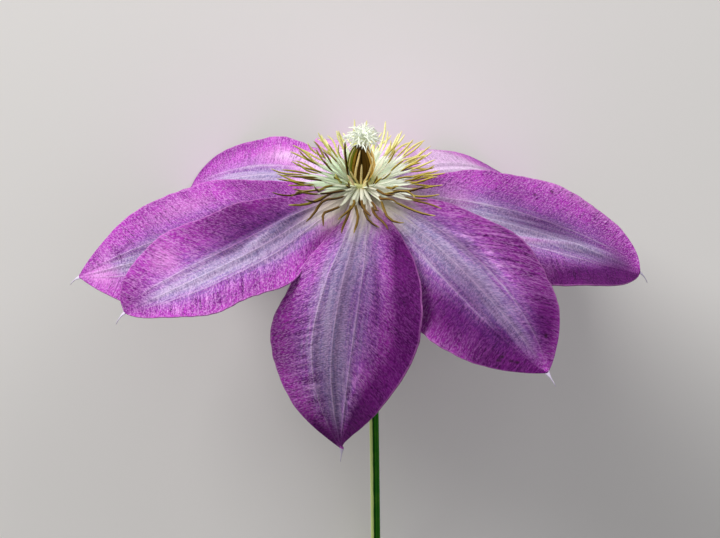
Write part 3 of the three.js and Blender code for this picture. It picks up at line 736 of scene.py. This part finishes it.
def straight(name, sides, stations):
    """A closed rod: each station is (height, half width, half thickness)."""
    _, half, thick = stations[0]
    bpy.ops.mesh.primitive_circle_add(vertices=sides, radius=1, fill_type="NGON")
    rod = bpy.context.object
    rod.name = name
    enter_edit()
    bpy.ops.mesh.flip_normals()
    bpy.ops.transform.resize(value=(half, thick, 1))
    for (low, width, depth), (high, next_width, next_depth) in zip(stations, stations[1:]):
        draw_out((0, 0, high - low), (next_width / width, next_depth / depth), (0, 0, high))
    leave_edit()
    smooth(rod)
    base = points_of(rod)
    mark(rod, "along", base[:, 2])
    mark(rod, "around", np.sin(np.arctan2(base[:, 1] / thick, base[:, 0] / half)))
    return rod


def bent_copy(source, line, outward, broad=1.0, twist=0.0):
    """A copy of a straight strap, bent along a line of points with its face turned outward."""
    select_only(source)
    bpy.ops.object.duplicate()
    copy = bpy.context.object
    gaps = np.linalg.norm(np.diff(line, axis=0), axis=1)
    arc = np.concatenate([[0], np.cumsum(gaps)]) / gaps.sum()
    ahead = np.gradient(line, arc, axis=0)
    ahead /= np.linalg.norm(ahead, axis=1)[:, None]
    across = np.cross(ahead, outward)
    across /= np.linalg.norm(across, axis=1)[:, None]
    up = np.cross(across, ahead)
    flat = points_of(copy)
    z = np.clip(flat[:, 2], 0, 1)
    centre, aside, out = [read_off(z, arc, values) for values in (line, across, up)]
    turn = twist * z
    sideways = broad * (flat[:, 0] * np.cos(turn) - flat[:, 1] * np.sin(turn))
    outwards = broad * (flat[:, 0] * np.sin(turn) + flat[:, 1] * np.cos(turn))
    move_points(copy, centre + aside * sideways[:, None] + out * outwards[:, None])
    return copy


# Stamens


def stamen_line(azimuth, rise, root, length, curl, sway, waver, phase):
    """The points that a stamen's centre runs through, and the way its face is turned."""
    outward = direction(radians(azimuth), 0.0)
    root = outward * (root[0] - STAMEN_SINK[0]) + UP * (root[1] - STAMEN_SINK[1])
    x = (np.arange(STAMEN_ROWS) + 0.5) / STAMEN_ROWS
    bend = waver * x * np.sin(2 * pi * (WAVER_TURNS[0] * x + phase))
    angle = np.radians(rise + curl * (2 * x - 1) * np.abs(2 * x - 1) + bend)[:, None]
    aside = sway * x * x + WAVER_ASIDE * waver * x * np.sin(2 * pi * (WAVER_TURNS[1] * x + 2 * phase))
    steps = outward * np.cos(angle) + UP * np.sin(angle) + np.cross(UP, outward) * aside[:, None]
    return walk(root * MM, steps, length * MM), UP - FACE_LEAN * outward


def stamen_pattern(name, start, stalk, sac):
    """A straight stamen whose anther begins at a share of its length."""
    shares = [0, ANTHER_START, 1]
    stations = []
    for share, width, depth in STAMEN_STATIONS:
        broad = stalk if share < NECK else sac
        stations.append((np.interp(share, shares, [0, start, 1]), width * broad * MM, depth * MM))
    pattern = straight(name, SIDES["stamen"], stations)
    mark(pattern, "along", np.interp(points_of(pattern)[:, 2], [0, start, 1], shares))
    return pattern


def grow_ring(grow, count, root, length, rise, curl, bare, seed, filled):
    """One ring of stamens, flatter and more wavering in front."""
    draw = scatter(seed)
    extra = scatter(seed + 500)
    between_draw = scatter(seed + 900) if filled[0] else extra
    for k in range(count):
        azimuth = (k + 0.5) * 360 / count - 180 + AZIMUTH_SPREAD * draw()
        if abs(azimuth) < bare:
            continue
        to_back = (1 - cos(radians(azimuth))) / 2
        climb, size, bow, sway = several(draw, SPREAD)
        bends, warmth, phase = several(extra, SPREAD_MORE)
        climb += mix(*rise, to_back)
        bow *= curl
        warmth += 1 - to_back + LEFT_TONE * max(-sin(radians(azimuth)), 0) * to_back
        waver = STAMEN_BENDS * bends
        if to_back < FRONT_END:
            sway, waver = 2 * sway, FRONT_BENDS * waver
            grow("front", warmth, azimuth, climb, root, length * size, bow, sway, waver, phase)
            continue
        grow("usual", warmth, azimuth, climb, root, length * size, bow, sway, waver, phase)
        if filled[0] <= to_back <= filled[1]:
            turn, bends, size, more, sway, phase = several(between_draw, SPREAD_BETWEEN)
            azimuth += 180 / count + turn
            waver = STAMEN_BENDS * bends
            grow("between", warmth, azimuth, climb + more, root, length * size, bow, sway, waver, phase)


def make_stamens():
    patterns = {kind: stamen_pattern(kind, *shape[:3]) for kind, shape in STAMEN_KINDS.items()}
    copies = []

    def grow(kind, warmth, azimuth, rise, root, length, curl, sway, waver=0, phase=0):
        line, face = stamen_line(azimuth, rise, root, length, curl, sway, waver, phase)
        if kind == "hooked" and rise > UPRIGHT:
            face = direction(radians(azimuth), 0.0)
        copy = bent_copy(patterns[kind], line, face, broad=STAMEN_KINDS[kind][3], twist=2 * sway)
        mark(copy, "tone", warmth)
        # painted light share: 1 at the flower's right, 0 at its left
        mark(copy, "painted_light_share", (1 + sin(radians(azimuth))) / 2)
        copies.append(copy)

    for ring in RINGS:
        grow_ring(grow, **ring)
    for index, azimuth in enumerate(SHORT_AZIMUTHS):
        grow("usual", 0.5, azimuth, **SHORT_STAMENS, phase=0.2 * index)
    for azimuth, radius, height, rise, length, curl, sway, warmth in HOOKS:
        grow("hooked", warmth, azimuth, rise, (radius, height), length, curl, sway)
    collar = spun("collar", SIDES["collar"], COLLAR)
    for name, value in COLLAR_MARKS.items():
        mark(collar, name, value)
    smooth(collar)
    for pattern in patterns.values():
        bpy.data.objects.remove(pattern)
    finish_piece(join("stamens", [*copies, collar]), STAMEN, "stamens")


# Pistil and its styles


def make_pistil():
    profile = [(max(radius - CORE_INSET, POLE_RADIUS), height) for radius, height in BARREL]
    core = spun("pistil_core", SIDES["core"], profile)
    smooth(core)
    for name, value in CORE_MARKS.items():
        mark(core, name, value)
    strap = straight("inner_organ", SIDES["strap"], [(z, w * MM, d * MM) for z, w, d in STRAP_STATIONS])
    wall = np.array(BARREL[1:-1])
    copies = []
    for foot, head, low, top, off, broad, dark in INNER_STRAPS:
        heights = np.linspace(low, top, STRAP_ROWS)
        azimuths = np.radians(np.linspace(foot, head, STRAP_ROWS))
        radii = np.interp(heights, wall[:, 1], wall[:, 0]) + off
        line = np.stack([np.sin(azimuths) * radii, -np.cos(azimuths) * radii, heights], -1) * MM
        copy = bent_copy(strap, line, direction(radians((foot + head) / 2), 0.0), broad=broad)
        mark(copy, "tone", dark)
        # painted light share of the strap, most at the flower's right
        mark(copy, "painted_light_share", max(sin(radians(head)), 0))
        copies.append(copy)
    bpy.data.objects.remove(strap)
    finish_piece(join("pistil", [core, *copies]), INNER, "pistil")


def tuft_dome():
    bpy.ops.mesh.primitive_uv_sphere_add(segments=28, ring_count=16, radius=TUFT_RADIUS[0] * MM,
                                         location=(0, 0, TUFT_Z * MM))
    dome = bpy.context.object
    bpy.ops.transform.resize(value=(TUFT_NARROW, TUFT_NARROW, TUFT_RADIUS[1] / TUFT_RADIUS[0]))
    bpy.ops.object.transform_apply()
    smooth(dome)
    mark(dome, "along", 0)
    return dome


def make_tuft():
    """Styles that rise from a dome and curl down all round it."""
    draw = scatter(STYLE_SEED)
    copies = []
    for k in range(STYLES):
        share = (k + 0.5) / STYLES
        steep = radians(mix(*STYLE_STEEP, (1 - share) ** 1.2))
        outward = direction(k * GOLDEN_ANGLE, 0.0)
        reach = STYLE_REACH[0] + STYLE_REACH[1] * share + STYLE_REACH[2] * draw()
        curl = STYLE_CURL[0] + STYLE_CURL[1] * share + STYLE_CURL[2] * draw()
        sideways = np.cross(UP, outward) * STYLE_SWAY * draw()
        phase = 3 * draw()
        root = outward * TUFT_ROOT[0] * cos(steep) + UP * (TUFT_Z + TUFT_ROOT[1] * sin(steep))
        past = np.arange(STYLE_ROWS)[:, None] / STYLE_ROWS
        angle = steep + np.radians(STYLE_LIFT - curl * past ** 1.3)
        sway = np.sin(phase + STYLE_SWAY_TURN * past)
        steps = outward * np.cos(angle) + UP * np.sin(angle) + sideways * sway
        line = walk(root * MM, steps, reach * MM)
        face = UP + 0.4 * outward
        copies.append(bent_copy(STYLE, line, face, broad=STYLE_BROAD, twist=STYLE_TWIST * draw()))
    piece = join("stigma_tuft", [tuft_dome(), *copies])
    piece.data.transform(Matrix.Translation((TUFT_SHIFT * MM, 0, 0)))
    finish_piece(piece, DOWNY, "stigma_tuft")


# Stem


def catmull_rom(points, share):
    """A place on the smooth curve through the points, at a share of its length in points."""
    points = [np.array(point, float) for point in points]
    points = [2 * points[0] - points[1], *points, 2 * points[-1] - points[-2]]
    at = min(share * (len(points) - 3), len(points) - 3 - 1e-9)
    k = int(at)
    s = at - k
    a, b, c, d = points[k:k + 4]
    bend = (2 * a - 5 * b + 4 * c - d) * s ** 2 + (3 * b - a - 3 * c + d) * s ** 3
    return 0.5 * (2 * b + (c - a) * s + bend)


def make_stem():
    """Drawn down the stem's course, wide where it carries the flower, with a flat cut end, then grooved."""
    stations = [((0, 0, z), radius) for z, radius in STEM_TOP]
    for share in np.linspace(STEM_START, 1, STEM_STATIONS):
        stations.append((catmull_rom(STEM_POINTS, share), STEM_RADIUS))
    rim, sunk = STEM_CUT
    stations.append((stations[-1][0] + (0, 0, sunk), STEM_RADIUS - rim))
    stem = drawn("flower_stem", GROOVE_CORNERS * STEM_GROOVES, stations)
    stem.data.name = "flower_stem"
    places = points_of(stem)
    centres = np.array([catmull_rom(STEM_POINTS, s) for s in np.linspace(0, 1, STEM_SAMPLES)]) * MM
    centre = read_off(-places[:, 2], -centres[:, 2], centres[:, :2])
    centre[places[:, 2] > STEM_TOP[-1][0] * MM] *= 0
    radial = places[:, :2] - centre
    angle = np.arctan2(radial[:, 1], radial[:, 0])
    groove = (0.5 + 0.5 * np.cos(STEM_GROOVES * angle)) ** 3
    depth = STEM_GROOVE * groove * np.clip((-places[:, 2] - GROOVE_TOP) / GROOVE_FADE, 0, 1)
    length = np.maximum(np.linalg.norm(radial, axis=1), 1e-9)
    places[:, :2] -= radial / length[:, None] * depth[:, None]
    move_points(stem, places)
    mark(stem, "groove", groove)
    # painted light side: 1 towards -X, where the stem is painted lighter
    mark(stem, "painted_light_side", -np.cos(angle))
    select_only(stem)
    bpy.ops.object.shade_smooth_by_angle(angle=STEM_EDGE)
    finish_piece(stem, STALK, "stem")


# Finishes. They read these marks. Petals: share (place beside the midrib, x, distance from the middle), grain
# (mm across and along, and a seed), tint (painted shade, painted light, speck), vein and rough. Stamens,
# straps,
# styles: along, around, tone, from pale to dark, and lit, the share of painted glow that stands for light
# coming through, most at the flower's right; where it is low, the filaments are painted in shade.


def petal_finish(name, margin, deep, flush, bar, blue, base, rim, line, thread, pale, painted_shade_colour):
    """Violet margins round a pale bar with three ribs, a cream foot, side veins, crepe, and painted shade and
    light.
    """
    made, shader, nodes = material(name, {"Specular IOR Level": 0.12, "IOR": 1.35})
    t, x, edge_share = nodes.mark("share").parts()
    across, along, seed = nodes.mark("grain").parts()
    # dark and light are the painted shade and painted light of the patches and creases; speck marks dark
    # specks
    dark, light, speck = nodes.mark("tint").parts()
    vein = nodes.number("vein")
    rough = nodes.number("rough")
    side = abs(t)
    drift = seed * 13.7
    grain = nodes.vector(across, along, drift)
    clumps = grain.noise(0.13, 3, 0.55)
    clouds = grain.noise(0.4, 3, 0.6)
    outer = side.step(0.2, 0.5)
    crepe = nodes.vector(vein * 2.6, across * 1.15, drift).noise(1, 2, 0.6)
    flecks = nodes.vector(vein * 3.3, across * 1.5, drift + 5).noise(1, 2, 0.6)
    streaks = nodes.vector(vein * 2.2, across * 0.14, drift).noise(1, 3, 0.6)
    puckers = nodes.vector(vein * 0.8, across * 0.1, drift + 2).noise(1, 2, 0.5)
    strands = nodes.vector(across * 1.2, along * 0.06, drift + 3).noise(1, 3, 0.65)
    threads = nodes.vector(across * 2.6, along * 0.12, drift + 8).noise(1, 2, 0.6)

    edge = 0.34 - 0.2 * x
    blurred = side + (clumps - 0.5) * 0.2 + (streaks - 0.5) * 0.3 * outer + (strands - 0.5) * 0.6
    bar_share = (blurred - edge).step(0.26, -0.2) * x.step(1.0, 0.8) * (0.6 + 0.5 * clouds)
    flush_share = (blurred - edge).step(0.6, 0.0) * x.step(1.0, 0.75)
    foot_share = (x + 0.09 * side + (strands - 0.5) * 0.14).step(0.28, 0.09)

    colour = nodes.plain(margin).coat(deep, clumps.step(0.62, 0.36) * 0.38)
    colour = colour.coat(flush, flush_share * 0.85)
    colour = colour.coat(nodes.plain(bar).coat(blue, strands.step(0.4, 0.62) * 0.8), bar_share)
    # painted light: rim colour, then pale, laid on where the patches are light
    colour = colour.coat(rim, light.step(0.0, 0.6) * 0.7)
    colour = colour.coat(pale, light.step(0.4, 1.1) * 0.9)
    colour = colour.coat(base, foot_share)

    spacing = side.math("PINGPONG", side, RIB_SPACING / 2)
    inner = side.step(0.36, 0.3) * x.step(0.04, 0.2) * x.step(1.0, 0.86)
    ribs = spacing.step(0.018, 0.004) * inner
    # painted shade in the furrows beside the ribs
    painted_furrow_shade = spacing.step(0.015, 0.05) * spacing.step(0.11, 0.05) * inner
    colour = colour.coat(deep, painted_furrow_shade * 0.2 + threads.step(0.62, 0.74) * inner * 0.25)
    colour = colour.coat(pale, ribs * 0.4 * (0.4 + clouds))

    # painted shade in the hollows of crepe, streaks and puckers, and painted glints on their crests
    painted_hollow_shade = crepe.step(0.54, 0.32) * 0.5 + streaks.step(0.52, 0.34) * outer * 0.42
    painted_hollow_shade = painted_hollow_shade + puckers.step(0.5, 0.36) * rough * 0.6
    colour = colour.coat(deep, painted_hollow_shade * (1 - foot_share) * (1 - 0.3 * bar_share))
    painted_light = flecks.step(0.46, 0.62) * 0.55 + streaks.step(0.55, 0.7) * outer * 0.28
    painted_light = painted_light + puckers.step(0.54, 0.66) * rough * 0.4
    painted_glint = nodes.plain(line).coat(thread, bar_share * 0.8)
    colour = colour.coat(painted_glint, painted_light * (1 - foot_share))
    # painted shade: the colour is multiplied by the dusk colour where the patches are dark
    colour = colour.coat(painted_shade_colour, dark, "MULTIPLY")
    # painted rim highlight along the petal's edge
    colour = colour.coat(rim, edge_share.step(0.97, 0.992) * (0.1 + 0.5 * clouds) * x.step(1.0, 0.97))
    colour = colour.coat(paint(40, 16, 36), speck * 0.85)
    colour = colour.coat(thread, x.step(1.0, 1.03))
    height = crepe * 0.7 + streaks * outer * 0.8 + puckers * rough * 1.2
    height = height + flecks * 0.5 + ribs * 0.4 + threads * 0.3
    connect(shader, {
        "Base Color": colour, "Roughness": 0.6 + (crepe - 0.5) * 0.3, "Normal": height.bump(0.8, 0.0004),
    })
    return made


def strap_finish(name, sac_start, gloss, under, cream, foot, grain_and_painted_underside_shade, blush, pale, gold, olive, ochre, leaf,
                 amber, brown, tip, painted_left_shade):
    """Filament and anther: cream below, pollen sacs of gold and brown above, with a light tip."""
    made, shader, nodes = material(name, {"Specular IOR Level": gloss, "Emission Strength": PAINTED_GLOW})
    along, around, warm, painted_light_share = [nodes.number(mark) for mark in ("along", "around", "tone", "painted_light_share")]
    grain = nodes.place().noise(1600, 3, 0.6)
    blotch = nodes.place().noise(420, 2, 0.5)
    anther = (along + (blotch - 0.5) * 0.05).step(sac_start - 0.03, sac_start + 0.03)
    sac = nodes.plain(pale).coat(gold, warm.step(0.05, 0.55))
    sac = sac.coat(olive, warm.step(0.3, 0.75) * 0.6)
    sac = sac.coat(ochre, warm.step(0.55, 0.95) * 0.85)
    sac = sac.coat(leaf, warm.step(-0.16, -0.4))
    shadow = nodes.plain(amber).coat(brown, warm.step(0.0, 0.7))
    below = (around + (blotch - 0.5) * 0.7).step(*under)
    sac = sac.coat(shadow, below * (0.5 * warm.step(-0.4, 0.0) + 0.5 * warm.step(0.1, 0.6)))
    stalk = nodes.plain(cream).coat(foot, along.step(0.2, 0.0))
    stalk = stalk.coat(blush, warm.step(0.62, 0.95) * 0.7)
    # veil: random grain, and painted shade on the undersides
    stalk = stalk.coat(grain_and_painted_underside_shade, grain.step(0.4, 0.7) * 0.25 + around.step(0.0, -0.8) * 0.4)
    colour = stalk.coat(sac, anther)
    colour = colour.coat(tip, along.step(0.93, 1.0) * 0.5 * (1 - warm.step(0.7, 1.0)))
    colour = colour.coat(brown, grain.step(0.56, 0.75) * anther * 0.4)
    # painted shade at the left and painted glow at the right, by the painted light share
    colour = colour.coat(painted_left_shade, (1 - painted_light_share) * 0.9, "MULTIPLY")
    connect(shader, {
        "Base Color": colour, "Emission Color": nodes.plain(BLACK).coat(colour, painted_light_share),
        "Roughness": 0.5 + (grain - 0.5) * 0.3, "Normal": grain.bump(0.4, 0.00012),
    })
    return made


def downy_finish():
    made, shader, nodes = material("downy_white", {
        "Sheen Weight": 0.4, "Sheen Roughness": 0.4,
        # the emission is a painted glow that whitens the tuft
        "Emission Color": (0.93, 1, 0.9, 1), "Emission Strength": 0.1,
    })
    grain = nodes.place().noise(2600, 2, 0.6)
    along = nodes.number("along")
    colour = nodes.plain(paint(206, 210, 150)).coat(paint(236, 241, 224), along.step(0.0, 0.35))
    colour = colour.coat(paint(254, 254, 250), grain.step(0.45, 0.65) * 0.5)
    connect(shader, {
        "Base Color": colour, "Roughness": 0.62 + (grain - 0.5) * 0.3, "Normal": grain.bump(0.5, 0.0001),
    })
    return made


def stalk_finish():
    made, shader, nodes = material("green_stalk", {"Specular IOR Level": 0.12})
    groove = nodes.number("groove")
    painted_light_side = nodes.number("painted_light_side")
    x, y, z = nodes.place().parts()
    fibres = nodes.vector(x * 2600, y * 60, z * 2600).noise(1, 2, 0.5)
    blotch = nodes.place().noise(240, 3, 0.6)
    # painted light on the stem's left face, a painted dark line beside it, and painted shade in the grooves
    painted_light = (painted_light_side + (blotch - 0.5) * 0.2).step(0.3, 0.55)
    painted_shade_line = (abs(painted_light_side - 0.16) + (blotch - 0.5) * 0.08).step(0.26, 0.12)
    colour = nodes.plain(paint(34, 114, 2)).coat(paint(96, 150, 30), blotch.step(0.4, 0.75) * 0.3)
    colour = colour.coat(paint(220, 238, 150), painted_light)
    colour = colour.coat(paint(0, 60, 0), painted_shade_line * 0.9 + groove.step(0.4, 0.95) * (1 - painted_light) * 0.6)
    colour = colour.coat(paint(206, 222, 140), fibres.step(0.55, 0.8) * (0.04 + 0.12 * painted_light))
    connect(shader, {
        "Base Color": colour, "Roughness": 0.42 + (fibres - 0.5) * 0.25, "Normal": fibres.bump(0.25, 0.00012),
    })
    return made


# dusk is the colour that painted shade multiplies by, deep on the face and faint on the back
PETAL_FACE = petal_finish(
    "petal_face", margin=paint(184, 58, 190), deep=paint(86, 6, 98), flush=paint(142, 96, 182),
    bar=paint(180, 168, 200), blue=paint(140, 146, 182), base=paint(230, 220, 206),
    rim=paint(222, 140, 218), line=paint(226, 164, 232), thread=paint(216, 206, 230),
    pale=paint(244, 220, 250), painted_shade_colour=(0.25, 0.09, 0.27, 1),
)
PETAL_BACK = petal_finish(
    "petal_back", margin=paint(196, 128, 204), deep=paint(150, 84, 158), flush=paint(180, 140, 198),
    bar=paint(200, 186, 206), blue=paint(186, 188, 196), base=paint(196, 204, 150),
    rim=paint(222, 168, 222), line=paint(206, 196, 196), thread=paint(216, 206, 230),
    pale=paint(226, 214, 230), painted_shade_colour=(0.8, 0.75, 0.8, 1),
)
STAMEN = strap_finish(
    "stamen_gold", ANTHER_START, 0.25, (0.62, 0.0), cream=paint(248, 253, 238), foot=paint(200, 196, 112),
    grain_and_painted_underside_shade=paint(212, 224, 200), blush=paint(214, 200, 190), pale=paint(250, 244, 170),
    gold=paint(202, 182, 68), olive=paint(152, 130, 26), ochre=paint(92, 46, 4), leaf=paint(246, 212, 172),
    amber=paint(196, 156, 36), brown=paint(62, 30, 0), tip=paint(244, 230, 150), painted_left_shade=(0.76, 0.86, 0.74, 1),
)
INNER = strap_finish(
    "inner_brown", 0.1, 0.12, (0.3, -0.3), cream=paint(150, 140, 76), foot=paint(150, 140, 80),
    grain_and_painted_underside_shade=paint(84, 74, 26), blush=paint(150, 140, 76), pale=paint(254, 230, 160), gold=paint(230, 176, 56),
    olive=paint(112, 92, 8), ochre=paint(66, 40, 2), leaf=paint(92, 100, 8), amber=paint(206, 146, 36),
    brown=paint(38, 20, 0), tip=paint(150, 128, 50), painted_left_shade=(1, 1, 1, 1),
)
DOWNY = downy_finish()
STALK = stalk_finish()

# Threads that repeat
THREAD = straight("tip_thread", SIDES["thread"], [
    (0, THREAD_ROOT, THREAD_ROOT * 0.2), (0.2, THREAD_ROOT * 0.95, THREAD_ROOT * 0.22),
    (0.38, THREAD_ROOT * 0.55, THREAD_ROOT * 0.25), (0.55, THREAD_ROOT * 0.24, THREAD_ROOT * 0.2),
    (0.8, THREAD_END * 1.3, THREAD_END * 1.3), (1, THREAD_END, THREAD_END),
])
STYLE = straight("style", SIDES["style"], [(z, w * MM, d * MM) for z, w, d in STYLE_STATIONS])

for index, petal in enumerate(PETALS):
    make_petal(petal, index + 1)
make_stamens()
make_pistil()
make_tuft()
make_stem()
for pattern in (THREAD, STYLE):
    bpy.data.objects.remove(pattern)


# Studio

FLOOR_SIZE = 4
VIEW_HEIGHT = radians(32)  # of the viewer over the flower's face
VIEW_DISTANCE = 600 * MM
VIEW_SHIFT = (-0.261 * MM, -21.14 * MM)
LENS = 114.94
SENSOR = 36
NEAREST = 10 * MM
# Name, direction and distance from the flower, size, power and tint
LIGHTS = [
    ("key", (-0.62, 0.68, 0.36), 1.2, 0.95, 17.8, (1, 0.985, 0.96)),
    ("side", (0.62, 0.7, 0.5), 1.2, 0.9, 3.8, (1, 1, 1)),
    ("fill", (0.45, -0.1, 0.9), 0.9, 0.8, 0.7, (0.95, 0.97, 1)),
]
WORLD_LIGHT = 0.2


def make_floor():
    bpy.ops.mesh.primitive_plane_add(size=FLOOR_SIZE)
    floor = bpy.context.object
    floor.name = "floor"
    made, shader, nodes = material("pale_floor", {"Roughness": 0.9})
    clouds = nodes.place().noise(3, 2, 0.5)
    connect(shader, {"Base Color": nodes.plain(paint(234, 232, 230)).coat(paint(228, 226, 224), clouds)})
    floor.data.materials.append(made)


def make_camera():
    tilt = Matrix.Rotation(pi / 2 - VIEW_HEIGHT, 4, "X")
    camera = bpy.data.objects.new("camera", bpy.data.cameras.new("camera"))
    camera.matrix_world = LIE @ tilt @ Matrix.Translation((*VIEW_SHIFT, VIEW_DISTANCE))
    camera.data.lens = LENS
    camera.data.sensor_width = SENSOR
    camera.data.clip_start = NEAREST
    bpy.context.scene.collection.objects.link(camera)
    bpy.context.scene.camera = camera


def make_lights():
    for name, towards, distance, size, power, tint in LIGHTS:
        lamp = bpy.data.lights.new(name, "AREA")
        lamp.shape = "DISK"
        lamp.size = size
        lamp.energy = power
        lamp.color = tint
        holder = bpy.data.objects.new(name, lamp)
        towards = Vector(towards).normalized()
        place = FLOWER_AT + towards * distance
        holder.matrix_world = Matrix.Translation(place) @ towards.to_track_quat("Z", "Y").to_matrix().to_4x4()
        bpy.context.scene.collection.objects.link(holder)
    world = bpy.data.worlds.new("studio")
    world.use_nodes = True
    background = world.node_tree.nodes["Background"]
    background.inputs["Color"].default_value = (1, 1, 1, 1)
    background.inputs["Strength"].default_value = WORLD_LIGHT
    bpy.context.scene.world = world
    bpy.context.scene.view_settings.view_transform = "Standard"


make_floor()
make_camera()
make_lights()
